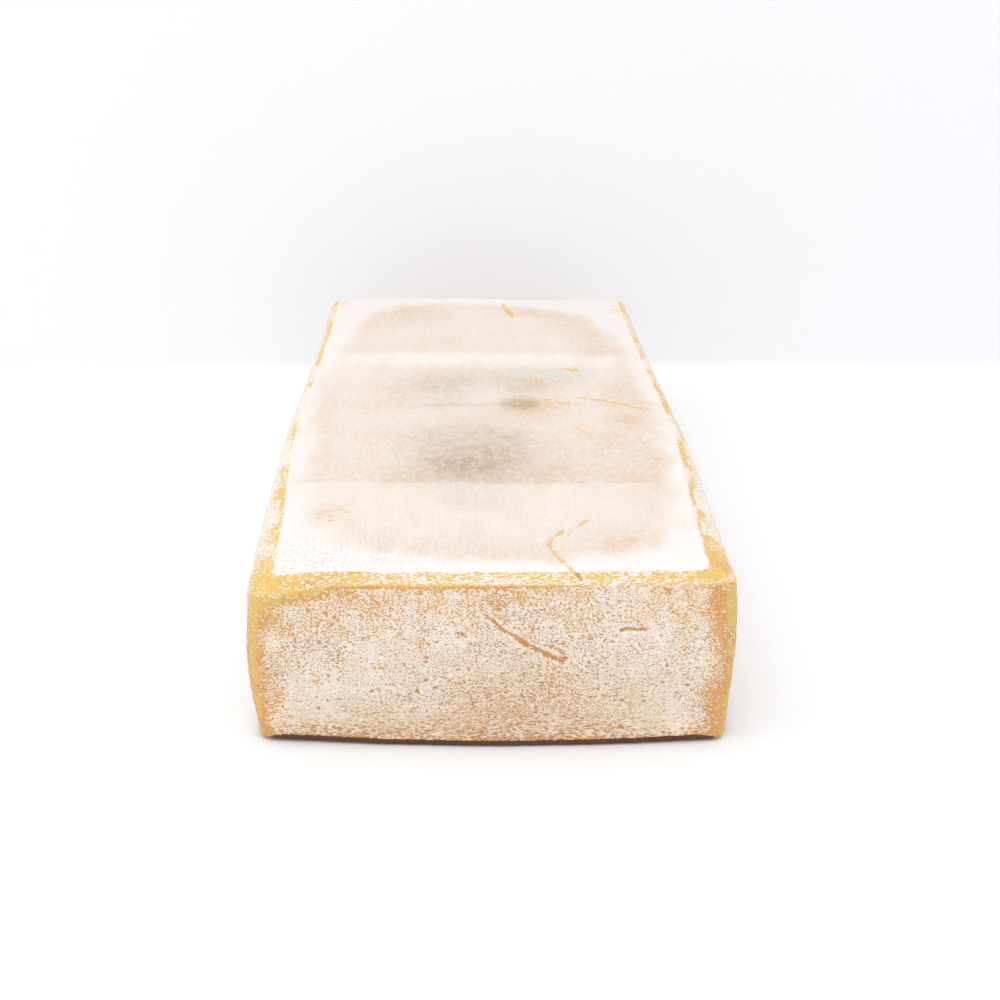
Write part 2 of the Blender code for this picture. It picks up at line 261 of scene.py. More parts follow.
# The foot's band of painted shade, for the shadow under its rounded edge: how high it reaches, how much higher away
# from the corners, and where it fades out towards them
PAINTED_FOOT_SHADE = 1.3
PAINTED_FOOT_SHADE_WIDER = 0.6
PAINTED_FOOT_SHADE_ENDS = (1.0, 9.0)
LOW_DOWN = (4.0, 20.0)
STREAKS_END = (6.0, 15.0)
PITS_UNDER_RIDGE = (10.0, 26.0)
PITS_OVER_TABLE = (1.5, 4.0)

# Patches of the finish and the rind's relief, in millimetres: how far they reach, and how high they are
WIDE_PATCHES = 28.0
PATCHES = 8.0
ROUGH_SIZE, ROUGH_HEIGHT = 2.4, 0.16
SWELL_SIZE, SWELL_HEIGHT = 7.0, 0.10
RIM_RELIEF_SIZE, RIM_RELIEF_HEIGHT = (3.4, 1.6, 1.6), 0.20
CRACK_SINKS = (0.40, 0.62)
BLOT_ENDS = 7

# The same marks on the front end, with x and z. The bare rind shows less where the strength is below 0
FRONT_MARKS_SHARE = 0.6
FRONT_BARE_MARKS = (
    (-64, 44, 9, 9, 0.10), (-38, 49, 16, 4, 0.10), (70, 49, 2.2, 3.5, 0.90), (-46, 40, 16, 9, 0.08),
    (-68, 22, 5, 12, 0.18), (-58, 3, 14, 4, 0.22), (-48, 30, 5, 5, 0.20, -40), (1, 48, 5, 5, 0.22),
    (24, 32, 9, 10, 0.14), (20, 47, 26, 6, 0.14), (56, 47, 12, 4, 0.16), (9, 11, 26, 8, 0.20), (6, 3, 40, 4, 0.26),
    (68, 14, 6, 10, 0.28), (68, 27, 6, 7, -0.30), (-68, 36, 5, 5, -0.30), (-60, 15, 12, 8, -0.26),
    (-44, 26, 16, 8, -0.22, 30), (-30, 34, 16, 6, -0.16), (52, 13, 13, 8, -0.30), (44, 26, 18, 9, -0.20),
    (-8, 27, 12, 6, -0.12),
)
FRONT_VEIL_MARKS = (
    (6, 9, 34, 10, 0.85), (10, 43, 50, 8, -0.35), (0, 26, 22, 10, 0.35), (-30, 8, 26, 8, 0.35),
    (20, 24, 30, 10, 0.30), (-62, 6, 12, 6, 0.35),
)
ORANGE_WARMTH = 0.6
FRONT_ORANGE_MARKS = (
    (69.5, 47.5, 2.2, 4.5, 1.1), (70, 17, 4, 7, 0.8), (67, 3, 7, 3, 0.8), (70, 33, 3, 9, 0.45),
    (-69, 31, 3, 9, 0.50), (-68, 15, 3, 8, 0.60), (-66, 41, 5, 5, 0.35), (1, 48, 4, 4, 0.45), (-34, 49, 8, 3, 0.40),
    (-70, 5, 4, 5, 0.55), (30, 49, 8, 2.5, 0.25),
)


def rise(value, low, high):
    """0 at low, 1 at high, easing at both ends."""
    t = min(1.0, max(0.0, (value - low) / (high - low)))
    return t * t * (3.0 - 2.0 * t)


def fade(value, low, high):
    """1 at low, 0 at high, easing at both ends."""
    return 1 - rise(value, low, high)


def hump(value, middle, width):
    """1 at the middle, and about a third at the width on either side of it."""
    return math.exp(-(((value - middle) / width) ** 2))


def lumps(x, y, z, size, layer):
    """A smooth number from -1 to 1 that changes over about the given size."""
    return noise.noise(Vector((x / size, y / size, z / size + LAYERS_APART * layer)))


def metres(name, description, default):
    return bpy.props.FloatProperty(name=name, description=description, default=default, unit="LENGTH")


def watts(name, description, default):
    return bpy.props.FloatProperty(name=name, description=description, default=default, unit="POWER")


def colour(name, description, default):
    return bpy.props.FloatVectorProperty(
        name=name, description=description, default=default, subtype="COLOR", size=3, min=0.0, max=1.0
    )


class LoafShape(bpy.types.PropertyGroup):
    """Sizes of the loaf."""

    width: metres("Width", "Across the ridge at the ends", 0.1508)
    length: metres("Length", "From the front ridge to the back ridge", 0.384)
    ridge_height: metres("Ridge height", "From the table to the ridge", 0.0528)
    plateau_rise: metres("Plateau rise", "How far the plateau stands over the ridge", 0.0018)
    corner_radius: metres("Corner radius", "Radius of the upright corners", 0.0055)
    foot_radius: metres("Foot radius", "Radius of the foot's edge", 0.0018)
    rim: metres("Rim", "Width of the bevelled rim at the front end", 0.0074)


class RindFinish(bpy.types.PropertyGroup):
    """Colours of the rind."""

    thick_bloom: colour("Thick bloom", "The white bloom on the top", (0.82, 0.785, 0.765))
    beige: colour("Beige", "The top's bloom where the rind shows through it", (0.745, 0.645, 0.565))
    tan: colour("Tan", "The browner parts of the top", (0.70, 0.535, 0.41))
    bloom: colour("Bloom", "The bloom on the walls", (0.91, 0.80, 0.69))
    thin_bloom: colour("Thin bloom", "The walls' bloom where the rind shows through it", (0.78, 0.60, 0.43))
    yellow_bloom: colour("Yellow bloom", "The walls' bloom near the edges", (0.93, 0.755, 0.56))
    # This colour is partly painted highlight: the white crumbs of bloom, made brighter than the bloom for the light
    # that catches their tops
    crust: colour("Crust", "The small raised crumbs of bloom", (0.99, 0.94, 0.87))
    brown: colour("Brown rind", "The bare spots in the walls' bloom", (0.51, 0.255, 0.115))
    orange: colour("Orange rind", "The bare rind near the edges", (0.70, 0.34, 0.085))
    amber: colour("Amber rind", "The bare rind on the edges and the rim", (0.76, 0.48, 0.10))
    crack: colour("Cracks", "The bottoms of the cracks", (0.55, 0.30, 0.12))
    # Painted shade: the foot colour is a dark band along the lowest wall for the shadow under the foot's rounded edge
    foot: colour("Foot", "The damp brown line along the foot", (0.125, 0.047, 0.018))
    mould: colour("Grey mould", "The patches of grey-brown mould on the top", (0.43, 0.29, 0.17))
    green: colour("Green mould", "The blue-green tint on the top", (0.52, 0.58, 0.51))


class StudioLook(bpy.types.PropertyGroup):
    """The floor, the backdrop and the lights."""

    paper: colour("Paper", "The floor and the backdrop", (0.905, 0.912, 0.93))
    top: watts("Top light", "Soft light overhead", 7.2)
    front: watts("Front light", "Soft light high in front", 3.1)
    left: watts("Left light", "Soft light on the left", 2.0)
    even: bpy.props.FloatProperty(name="Even light", description="Strength of the light from all round", default=0.85)


# --- The loaf's shape


def half_width(shape, y):
    """Half the ridge's width: the sides belly out a little ahead of the middle."""
    return shape.width / 2 + SIDE_BELLY * hump(y, SIDE_BELLY_Y, SIDE_BELLY_SPREAD)


def rim_at_side(shape, y, at_sides=RIM_AT_SIDES):
    """The rim's width along a side, which narrows from the front corner to the middle."""
    return shape.rim + (at_sides - shape.rim) * rise(y, RIM_NARROWS_FROM, RIM_NARROW_AT)


def even_steps(start, stop, cell):
    """Positions from start to stop, without the stop, at about the given distance."""
    count = max(1, round(abs(stop - start) / cell))
    return [start + (stop - start) * i / count for i in range(count)]


def rows_along(shape):
    """The mesh's rows from the front ridge to the back ridge."""
    half = shape.length / 2
    front = -half + shape.rim
    back = half - RIM_AT_BACK
    rows = even_steps(-half, front, shape.rim / RIM_CELLS)
    rows += even_steps(front, NEAR_UNTIL * MM, NEAR_CELL * MM)
    rows += even_steps(NEAR_UNTIL * MM, back, FAR_CELL * MM)
    return rows + even_steps(back, half, RIM_AT_BACK / (RIM_CELLS / 2)) + [half]


def shares_across(shape):
    """How the columns lie: (-1 to 1, True) inside the rims, (-1 to 0, False) and (0 to 1, False) over them."""
    inside = round((shape.width / MM - BOTH_RIMS) / ACROSS_CELL)
    rim = [(i / RIM_CELLS, False) for i in range(RIM_CELLS)]
    middle = [(-1 + 2 * i / inside, True) for i in range(inside + 1)]
    return [(-1 + s, f) for s, f in rim] + middle + [(1 - s, f) for s, f in rim[::-1]]


def column(share, half_x, rim):
    """Where a column is across the loaf, in a row that is this wide."""
    place, within = share
    if within:
        return place * (half_x - rim)
    return (-half_x + (place + 1) * rim) if place < 0 else (half_x - (1 - place) * rim)


def rounded(shape, x, y, half_x, half_y):
    """A plan point moved into the rounded outline, and the way that the outline faces there."""
    radius = shape.corner_radius
    inner = Vector((half_x - radius, half_y - radius))
    over_x = max(0.0, abs(x) - inner.x) / radius
    over_y = max(0.0, abs(y) - inner.y) / radius
    round_x = over_x * math.sqrt(1 - over_y**2 / 2)
    round_y = over_y * math.sqrt(1 - over_x**2 / 2)
    base = Vector((min(abs(x), inner.x), min(abs(y), inner.y)))
    place = base + radius * Vector((round_x, round_y))
    facing = Vector((round_x, round_y))
    if facing.length > 0:
        facing.normalize()
    signs = Vector((math.copysign(1, x), math.copysign(1, y)))
    return place * signs, facing * signs


def level_height(shape, x, y):
    """The ridge's height without the droop: lumpy, crowned at the back and a little higher at the front."""
    crown = CROWN * hump(math.hypot(x - CROWN_X, y - CROWN_Y), 0.0, CROWN_SPREAD)
    lift = FRONT_LIFT * rise(-y, *FRONT_LIFT_FADES)
    return shape.ridge_height + crown + lift + RIDGE_LUMPS * lumps(x, y, 0, RIDGE_LUMP_SIZE, 1)


def droop(shape, x, y):
    """How far the ridge droops round the front left corner."""
    to_corner = math.hypot(x + shape.width / 2, y + shape.length / 2)
    return FRONT_LEFT_DROOP * fade(to_corner, 0.0, DROOP_REACH)


def ridge_height(shape, x, y):
    return level_height(shape, x, y) - droop(shape, x, y)


def fold_relief(shape, x, y):
    """The height that the cloth folds add: a narrow groove, and a low step up on the side nearer the front."""
    relief = 0.0
    for fold in FOLDS:
        strength = fold[-1]
        widths_off = (y - fold_line(shape, x, fold)) / FOLD_WIDTH
        relief -= strength * FOLD_DEPTH * hump(widths_off, 0.0, 1.0)
        relief += strength * FOLD_STEP * hump(widths_off, -FOLD_STEP_WIDTHS_OFF, FOLD_STEP_WIDTHS_OFF)
    return relief


def rims_inside(shape, x, y, at_sides=RIM_AT_SIDES, round_from=RELIEF_FULL_AT):
    """How far inside the ridge a plan point is, in rim widths, rounded off at the corners."""
    side = (half_width(shape, y) - abs(x)) / rim_at_side(shape, y, at_sides)
    end = (shape.length / 2 - abs(y)) / (shape.rim if y < 0 else RIM_AT_BACK)
    if max(side, end) < round_from:
        return round_from - math.hypot(round_from - side, round_from - end)
    return min(side, end)


def top_height(shape, x, y, inside):
    """The height of the top over the table."""
    plateau = rise(inside, 0.0, PLATEAU_FULL_AT)
    relief = TOP_LUMPS * lumps(x, y, 0, TOP_LUMP_SIZE, 2) + fold_relief(shape, x, y)
    relief *= rise(inside, RELIEF_FROM, RELIEF_FULL_AT)
    sunk = (1 - DROOP_STAYS * plateau) * droop(shape, x, y)
    return level_height(shape, x, y) - sunk + shape.plateau_rise * plateau + relief


def side_out(height):
    """How far a side wall stands out from the ridge at a height, without the foot's rounding."""
    for (high, high_out), (low, low_out) in zip(SIDE_PROFILE, SIDE_PROFILE[1:]):
        if height >= low:
            return high_out + (low_out - high_out) * (high - height) / (high - low)
    return SIDE_PROFILE[-1][1]


def end_out(shape, height, x):
    """How far an end wall stands out from the ridge: it bellies like the sides, and its foot bows out."""
    bow = END_BOW * (1 - ((x - END_BOW_X) / END_BOW_HALF) ** 2)
    return max(0.0, side_out(height)) + bow * rise(1 - height / shape.ridge_height, 0.0, 1.0)


def stand_out(shape, height, x, y, facing):
    """How far the wall stands out from the ridge's outline at a height."""
    side = side_out(height)
    if x > 0 and side < 0:
        side *= RIGHT_TUCK
    out = side + (end_out(shape, height, x) - side) * facing.y**2
    lumpy = WALL_LUMPS * lumps(x, y, height, WALL_LUMP_SIZE, 3)
    lumpy *= rise(1 - height / shape.ridge_height, 0.0, WALL_LUMPS_FADE_IN)
    below = max(0.0, shape.foot_radius - height)
    rounding = shape.foot_radius - math.sqrt(shape.foot_radius**2 - below**2)
    return out + lumpy - rounding


def corner_lift(shape, x, y, height):
    """How far the foot is lifted off the table near a corner."""
    corner = ("front" if y < 0 else "back") + (" left" if x < 0 else " right")
    near_side = rise(abs(x) / shape.width, *LIFT_ACROSS)
    near_end = rise(abs(y) / shape.length, *LIFT_ALONG)
    return CORNER_LIFTS[corner] * near_side * near_end * fade(height, 0.0, LIFT_FADES_AT)


def wall_point(shape, x, y, height, half_x):
    """A point of the wall, from its place on the square outline and its height."""
    place, facing = rounded(shape, x, y, half_x, shape.length / 2)
    out = stand_out(shape, height, place.x, place.y, facing)
    share = height / shape.ridge_height
    ridge = ridge_height(shape, place.x, place.y)
    place += facing * out
    foot = FOOT_RISE * (1 - share) + corner_lift(shape, place.x, place.y, height)
    return Vector((place.x, place.y, share * ridge + foot))


def wall_heights(shape):
    """The heights of the wall's rows over the base, from the ridge down."""
    wall = even_steps(shape.ridge_height, shape.foot_radius, WALL_CELL * MM)
    return wall + [shape.foot_radius] + [share * shape.foot_radius for share in FOOT_STEPS]


def gridded_cube(cells_x, cells_y, cells_z):
    """A unit cube from 0 to 1 whose sides and top are grids of these cells, open underneath."""
    mesh = bmesh.new()
    bmesh.ops.create_cube(mesh, size=1.0)
    bmesh.ops.translate(mesh, verts=mesh.verts, vec=(0.5, 0.5, 0.5))
    underside = [f for f in mesh.faces if f.calc_center_median().z < 0.1]
    bmesh.ops.delete(mesh, geom=underside, context="FACES_ONLY")
    for axis, cells in enumerate((cells_x, cells_y, cells_z)):
        along = [e for e in mesh.edges if abs(e.verts[0].co[axis] - e.verts[1].co[axis]) > 0.5]
        bmesh.ops.subdivide_edges(mesh, edges=along, cuts=cells - 1, use_grid_fill=True)
    return mesh


def close_base(mesh):
    """Closes the open underside with the flat triangle and the slight rise from it to the foot."""
    foot = [e for e in mesh.edges if e.is_boundary]
    # Three points on a unit circle, the first on +Y, are sqrt(3) wide and 1.5 long, from 1 down to -0.5
    size = Matrix.Diagonal((REST_WIDTH / math.sqrt(3), REST_LENGTH / 1.5, 1.0, 1.0))
    place = Matrix.Translation((0.0, -REST_LENGTH / 6, 0.0)) @ size
    rest = bmesh.ops.create_circle(mesh, cap_ends=True, segments=3, radius=1.0, matrix=place)
    around = {e for v in rest["verts"] for e in v.link_edges}
    bmesh.ops.triangle_fill(mesh, edges=foot + list(around), use_beauty=True, normal=(0, 0, -1))
    return rest["verts"]


def smooth_loaf(shape):
    """The loaf's fine mesh before any relief, and the layer that says how far inside the ridge a point is."""
    rows = rows_along(shape)
    shares = shares_across(shape)
    heights = wall_heights(shape)
    cells = (len(shares) - 1, len(rows) - 1, len(heights) - 1)
    mesh = gridded_cube(*cells)
    inside_layer = mesh.verts.layers.float.new("inside")
    for vert in mesh.verts:
        i, j, k = (round(c * n) for c, n in zip(vert.co, cells))
        y = rows[j]
        half_x = half_width(shape, y)
        x = column(shares[i], half_x, rim_at_side(shape, y))
        if i in (0, cells[0]) or j in (0, cells[1]):
            height = heights[cells[2] - k]
            vert.co = wall_point(shape, x, y, height, half_x)
            vert[inside_layer] = height / shape.ridge_height - 1
        else:
            place, _ = rounded(shape, x, y, half_x, shape.length / 2)
            inside = rims_inside(shape, place.x, place.y)
            vert.co = Vector((place.x, place.y, top_height(shape, place.x, place.y, inside)))
            vert[inside_layer] = max(0.0, inside)
    for vert in close_base(mesh):
        vert[inside_layer] = UNDERSIDE
    bmesh.ops.recalc_face_normals(mesh, faces=mesh.faces)
    return mesh, inside_layer


# --- Cracks, stains and bloom


def to_stretch(a, b, a0, b0, a1, b1):
    """How far a point is from a straight stretch, and where along it the nearest place is, from 0 to 1."""
    da, db = a1 - a0, b1 - b0
    t = min(1.0, max(0.0, ((a - a0) * da + (b - b0) * db) / (da**2 + db**2)))
    return math.hypot(a - a0 - t * da, b - b0 - t * db), t


def to_path(a, b, path):
    """How far a point is from a path, in millimetres, and the path's width there."""
    best = (math.inf, 1.0)
    for (a0, b0, w0), (a1, b1, w1) in zip(path, path[1:]):
        away, t = to_stretch(a, b, a0, b0, a1, b1)
        if away - (w0 + t * (w1 - w0)) / 2 < best[0] - best[1] / 2:
            best = (away, w0 + t * (w1 - w0))
    return best


def near_path(a, b, path, margin):
    """Whether a point is in the box round a path."""
    return all(min(side) - margin < c < max(side) + margin for c, side in zip((a, b), zip(*path)))


def crack_field(a, b, paths):
    """0 at CRACK_REACH outside the cracks' edges, 0.5 at their edges, and rising inside them."""
    best = 0.0
    for path in paths:
        if near_path(a, b, path, CRACK_REACH + 1):
            away, width = to_path(a, b, path)
            best = max(best, 0.5 - 0.5 * (away - width / 2) / CRACK_REACH)
    return best


def pit_field(a, b, pits):
    """The same as crack_field for round pits."""
    nearest = min(math.hypot(a - centre_a, b - centre_b) - width / 2 for centre_a, centre_b, width in pits)
    return max(0.0, 0.5 - 0.5 * nearest / CRACK_REACH)


def blot(a, b, marks):
    """The sum of soft oval marks at a point, all in millimetres."""
    total = 0.0
    for centre_a, centre_b, radius_a, radius_b, strength, *turn in marks:
        da, db = a - centre_a, b - centre_b
        angle = math.radians(turn[0] if turn else 0)
        cos, sin = math.cos(angle), math.sin(angle)
        away = ((da * cos + db * sin) / radius_a) ** 2 + ((db * cos - da * sin) / radius_b) ** 2
        if away < BLOT_ENDS:
            total += strength * math.exp(-away)
    return total


def inside_outline(x, y, outline):
    """How far a point is inside a closed outline, below 0 outside it."""
    away = math.inf
    crossings = 0
    for (x0, y0), (x1, y1) in zip(outline, outline[1:] + outline[:1]):
        away = min(away, to_stretch(x, y, x0, y0, x1, y1)[0])
        if (y0 > y) != (y1 > y) and x < x0 + (y - y0) / (y1 - y0) * (x1 - x0):
            crossings += 1
    return away if crossings % 2 else -away


def fold_line(shape, x, fold):
    """Where a cloth fold lies, at a distance across the loaf."""
    middle, slant, bow, _ = fold
    across = x / (shape.width / 2)
    return middle + slant * across / 2 - bow * across**2


def top_finish(shape, x, y, wide, patchy):
    """What the top shows at a point in millimetres."""
    depth = inside_outline(x, y, MIDDLE_OUTLINE)
    front_left = rise(-y, *AT_FRONT_LEFT["y"]) * rise(-x, *AT_FRONT_LEFT["x"])
    front_right = rise(-y, *AT_FRONT_RIGHT["y"]) * rise(x, *AT_FRONT_RIGHT["x"])
    soft = BORDER_SOFT + BORDER_SOFTER_LEFT * front_left + BORDER_SOFTER_RIGHT * front_right
    middle = rise(depth + BORDER_WANDERS * patchy, -0.8 * soft, 1.1 * soft)
    brown = blot(x, y, BROWN_MARKS)
    veil = middle * (0.82 + 0.75 * brown + 0.22 * wide + 0.20 * patchy)
    near_fold, far_fold = (y - fold_line(shape, x * MM, fold) / MM for fold in FOLDS)
    near_fold += FOLD_WANDERS * patchy
    shade = math.exp(-abs(near_fold) / FOLD_SHADE)
    veil += middle * shade * (0.38 - 0.62 * rise(-near_fold, -0.7, 0.7))
    veil += 0.30 * middle * hump(near_fold, *FOLD_LINE) * (0.5 + patchy)
    if far_fold > 0:
        veil += 0.15 * middle * math.exp(-far_fold / FOLD_SHADE)
    veil -= 0.46 * hump(far_fold, *PALE_BAND) * fade(abs(x), 56, 70)
    veil += 0.30 * (1 - middle) * rise(y, -110, -50)
    inner_cloth = 0.20 * middle * (1 + 0.9 * rise(-y, 60, 150))
    return {
        "veil": veil,
        "bare": -0.80,
        "warm": 0.25,
        "mould": blot(x, y, MOULD_MARKS),
        "green": blot(x, y, GREEN_MARKS),
        "stain": blot(x, y, AMBER_MARKS),
        "cloth": 0.10 + blot(x, y, CLOTH_MARKS) + inner_cloth + 0.2 * patchy,
    }


def rim_finish(shape, x, y, inside, patchy):
    """What the rim shows at a point in millimetres."""
    half_x, half_y = half_width(shape, y * MM) / MM, shape.length / MM / 2
    end = rise((half_x - abs(x)) - 1.6 * (half_y - abs(y)), -4.0, 4.0)
    left_corner = rise(-x, *LEFT_CORNER)
    right_corner = rise(x, *RIGHT_CORNER)
    between = (1 - left_corner) * (1 - right_corner)
    front = rise(-y, *FRONT_END)
    ridge_line = hump(inside, *RIM_RIDGE) * between
    on_end = 0.52 + (0.30 * left_corner + 0.32 * right_corner) * max(front, 0.35)
    # Less bare rind on the lip just above the ridge line: a whiter line that is painted highlight
    on_end += 0.28 * hump(inside, *RIM_EDGE) + 0.45 * ridge_line - 0.14 * hump(inside, *RIM_LIP_HIGHLIGHT) * between
    on_end += 0.28 * rise(abs(x), *BACK_CORNERS) * (1 - front)
    on_side = 0.18 + (0.36 + patchy) * hump(inside, *RIM_INNER)
    on_side += 0.60 * rise(-y, *BARE_SIDE_AT_FRONT) + 0.30 * rise(y, *BARE_SIDE_AT_BACK)
    on_side += 0.50 * rise(x, 0, 60) * rise(-y, 150, 180)
    return {
        "bare": end * on_end + (1 - end) * on_side + 0.22 * patchy,
        "warm": 1.15 + 0.3 * patchy - 0.65 * ridge_line,
        "veil": 0.15 + 0.2 * patchy,
        "streak": end,
    }


def wall_finish(shape, along, height, drop, end, wide, patchy):
    """What a wall shows: along it, over the table and below the ridge, in millimetres. end is front, back or None."""
    front = end == "front"
    half = (shape.width if end else shape.length) / MM / 2
    corner = half - abs(along)
    near_corner = fade(corner + 4.0 * patchy, *NEAR_CORNER)
    crest = fade(corner + 2.0 * patchy, *CREST)
    near_ridge = fade(drop, *NEAR_RIDGE)
    on_ridge = hump(drop, *ON_RIDGE)
    over_foot = shape.ridge_height / MM - drop
    foot = fade(over_foot, *ABOVE_FOOT)
    ridge_line = fade(-along, *RIDGE_LINE_LEFT) - 0.8 * rise(along, *RIDGE_LINE_RIGHT) if front else 0.0

    bare = 0.28 + (0.30 + 0.30 * patchy) * near_corner + 0.30 * crest + 0.25 * foot + 0.11 * patchy + 0.08 * wide
    # On the ridge: the amber ridge line where ridge_line is 1, and elsewhere a paler crest that is painted highlight
    bare += on_ridge * (1.25 * ridge_line - (0.2 if front else 0.1))
    warm = 0.14 + 0.40 * near_corner + 0.42 * crest + 0.3 * foot + 0.20 * patchy
    warm += 0.45 * on_ridge + 0.10 * fade(drop, *UNDER_RIDGE)
    warm += near_ridge * (0.38 - 0.14 * rise(corner, 15, 50))
    veil = 0.25 + 0.12 * fade(height, *LOW_DOWN) + 0.4 * patchy + 0.3 * wide
    if front:
        bare += FRONT_MARKS_SHARE * blot(along, height, FRONT_BARE_MARKS)
        veil += blot(along, height, FRONT_VEIL_MARKS)
        orange = min(1.0, blot(along, height, FRONT_ORANGE_MARKS))
        warm += orange * (ORANGE_WARMTH - warm)
        under_crest = rise(-along, *LEFT_CREST) * hump(drop, *UNDER_CREST)
        bare += 0.2 * orange + 0.48 * under_crest
        warm += 0.45 * under_crest
    if not end:
        bare -= 0.15 * near_ridge * rise(corner, 4, 16)
    # The foot's dark band is painted shade for the shadow under its rounded edge, fading out near the corners
    foot_shade_height = PAINTED_FOOT_SHADE + PAINTED_FOOT_SHADE_WIDER * rise(corner, 2.0, 14.0)
    return {
        "bare": bare,
        "warm": warm,
        "veil": veil,
        "streak": 0.8 * fade(height, *STREAKS_END),
        "pits": 0.25 + 0.75 * rise(drop, *PITS_UNDER_RIDGE) * rise(height, *PITS_OVER_TABLE),
        "foot": fade(over_foot, foot_shade_height - 0.1, foot_shade_height + 0.6) * rise(corner, *PAINTED_FOOT_SHADE_ENDS),
        # Crumbs just below the ridge, partly painted highlight along the crest
        "rim": hump(drop, *RIDGE_CRUMBS_AND_HIGHLIGHT) * (1 - 0.75 * ridge_line),
    }


MASKS = ("top", "rim", "bare", "warm", "veil", "streak", "crack", "mould", "green", "stain", "cloth", "pits", "foot")


def finish_rind(mesh, shape, inside_layer):
    """Gives each point its finish, and moves it in or out by the small relief."""
    layers = {name: mesh.verts.layers.float.new(name) for name in MASKS}
    mesh.normal_update()
    moves = []
    for vert in mesh.verts:
        x, y, z = spot = vert.co / MM
        inside = vert[inside_layer]
        along = ALONG_THE_TOP if inside > RELIEF_FROM else 1.0
        drawn = Vector((x, y / along, z))
        wide = noise.noise(spot / WIDE_PATCHES)
        patchy = noise.fractal(drawn / PATCHES, 1.0, 2.0, 2)
        crack = 0.0
        if inside > 0:
            shown = rims_inside(shape, x * MM, y * MM, RIM_SHOWS_AT_SIDES, RIM_SHOWS_ROUND)
            top = rise(shown + 0.12 * patchy, 0.90, 1.20)
            rim = 1 - top
            finish = rim_finish(shape, x, y, shown, patchy)
            if top > 0:
                on_top = top_finish(shape, x, y, wide, patchy)
                finish = {name: rim * finish.get(name, 0) + top * on_top.get(name, 0) for name in on_top | finish}
            crack = crack_field(x, y, TOP_CRACKS)
        elif inside < UNDERSIDE / 2:
            top, rim = 1.0, 0.0
            finish = {"bare": 0.34 + 0.3 * patchy, "warm": 0.5, "veil": 0.8 + 0.4 * wide, "cloth": 0.9}
        else:
            drop = -inside * shape.ridge_height / MM
            top = 0.0
            end = None
            if abs(vert.normal.y) > abs(vert.normal.x):
                end = "front" if y < 0 else "back"
            finish = wall_finish(shape, x if end else y, z, drop, end, wide, patchy)
            rim = finish["rim"]
            if end == "front":
                crack = max(crack_field(x, z, FRONT_CRACKS), pit_field(x, z, FRONT_PITS))
        finish |= {"top": top, "rim": rim, "crack": crack}
        for name in MASKS:
            vert[layers[name]] = finish.get(name, 0.0)
        rough = noise.fractal(drawn / ROUGH_SIZE, 0.9, 2.1, 3)
        out = ROUGH_HEIGHT * rough * (1 - 0.75 * top) + SWELL_HEIGHT * noise.noise(spot / SWELL_SIZE)
        if inside > 0:
            out += RIM_RELIEF_HEIGHT * rim * noise.noise(Vector(c / size for c, size in zip(spot, RIM_RELIEF_SIZE)))
        moves.append(out * MM - CRACK_DEPTH * rise(crack, *CRACK_SINKS))
    for vert, out in zip(mesh.verts, moves):
        vert.co += vert.normal * out


def settle_in_box(mesh):
    """Moves the mesh so that its box is centred on the solid's, and stands where that stands."""
    low = Vector(min(v.co[i] for v in mesh.verts) for i in range(3))
    high = Vector(max(v.co[i] for v in mesh.verts) for i in range(3))
    shift = (LOAF_LOW + LOAF_HIGH - low - high) / 2
    shift.z = LOAF_LOW.z - low.z
    bmesh.ops.translate(mesh, verts=mesh.verts, vec=shift)


# --- Materials

# The first of a Mix node's two values, and its result, for each kind
MIX_SOCKETS = {"FLOAT": (2, 0), "RGBA": (6, 2)}


class Nodes:
    """A short way to add and join shader nodes in one tree."""

    def __init__(self, tree):
        self.tree = tree

    def add(self, kind, settings=None, **inputs):
        node = self.tree.nodes.new("ShaderNode" + kind)
        for name, value in (settings or {}).items():
            setattr(node, name, value)
        for name, value in inputs.items():
            self.put(node.inputs[name.replace("_", " ")], value)
        return node

    def put(self, socket, value):
        if isinstance(value, bpy.types.NodeSocket):
            self.tree.links.new(value, socket)
        elif value is not None:
            socket.default_value = value

    def math(self, operation, a, b=0.0, c=None, clamp=False):
        node = self.add("Math", {"operation": operation, "use_clamp": clamp})
        for socket, value in zip(node.inputs, (a, b, c)):
            self.put(socket, value)
        return node.outputs[0]

    def times(self, a, b):
        return self.math("MULTIPLY", a, b)

    def plus(self, a, b, share=1.0):
        """a and a share of b."""
        return self.math("MULTIPLY_ADD", b, share, a)

    def ramp(self, value, name, easing="SMOOTHSTEP"):
        """0 up to where the named part of the look starts, and 1 from where it is full."""
        low, high = RAMPS[name]
        settings = {"interpolation_type": easing}
        return self.add("MapRange", settings, Value=value, From_Min=low, From_Max=high).outputs["Result"]

    def blend(self, share, a, b, kind="FLOAT"):
        """From a to b: a number, or a colour where the kind says so."""
        node = self.add("Mix", {"data_type": kind})
        first, result = MIX_SOCKETS[kind]
        for index, value in ((0, share), (first, a), (first + 1, b)):
            self.put(node.inputs[index], value)
        return node.outputs[result]

    def mix(self, share, a, b):
        """A colour from a to b."""
        return self.blend(share, a, b, "RGBA")

    def noise(self, vector, size, detail, roughness, stretch):
        """Noise round 0.5, whose spots are about the given size in metres."""
        vector = self.stretched(vector, stretch)
        node = self.add("TexNoise", Vector=vector, Scale=1.0 / size, Detail=detail, Roughness=roughness)
        return node.outputs["Fac"]

    def mask(self, name):
        return self.add("Attribute", {"attribute_name": name}).outputs["Fac"]

    def stretched(self, vector, scale):
        return self.add("Mapping", Vector=vector, Scale=scale).outputs["Vector"]


def new_material(name):
    material = bpy.data.materials.new(name)
    material.use_nodes = True
    return material, material.node_tree.nodes["Principled BSDF"], Nodes(material.node_tree)


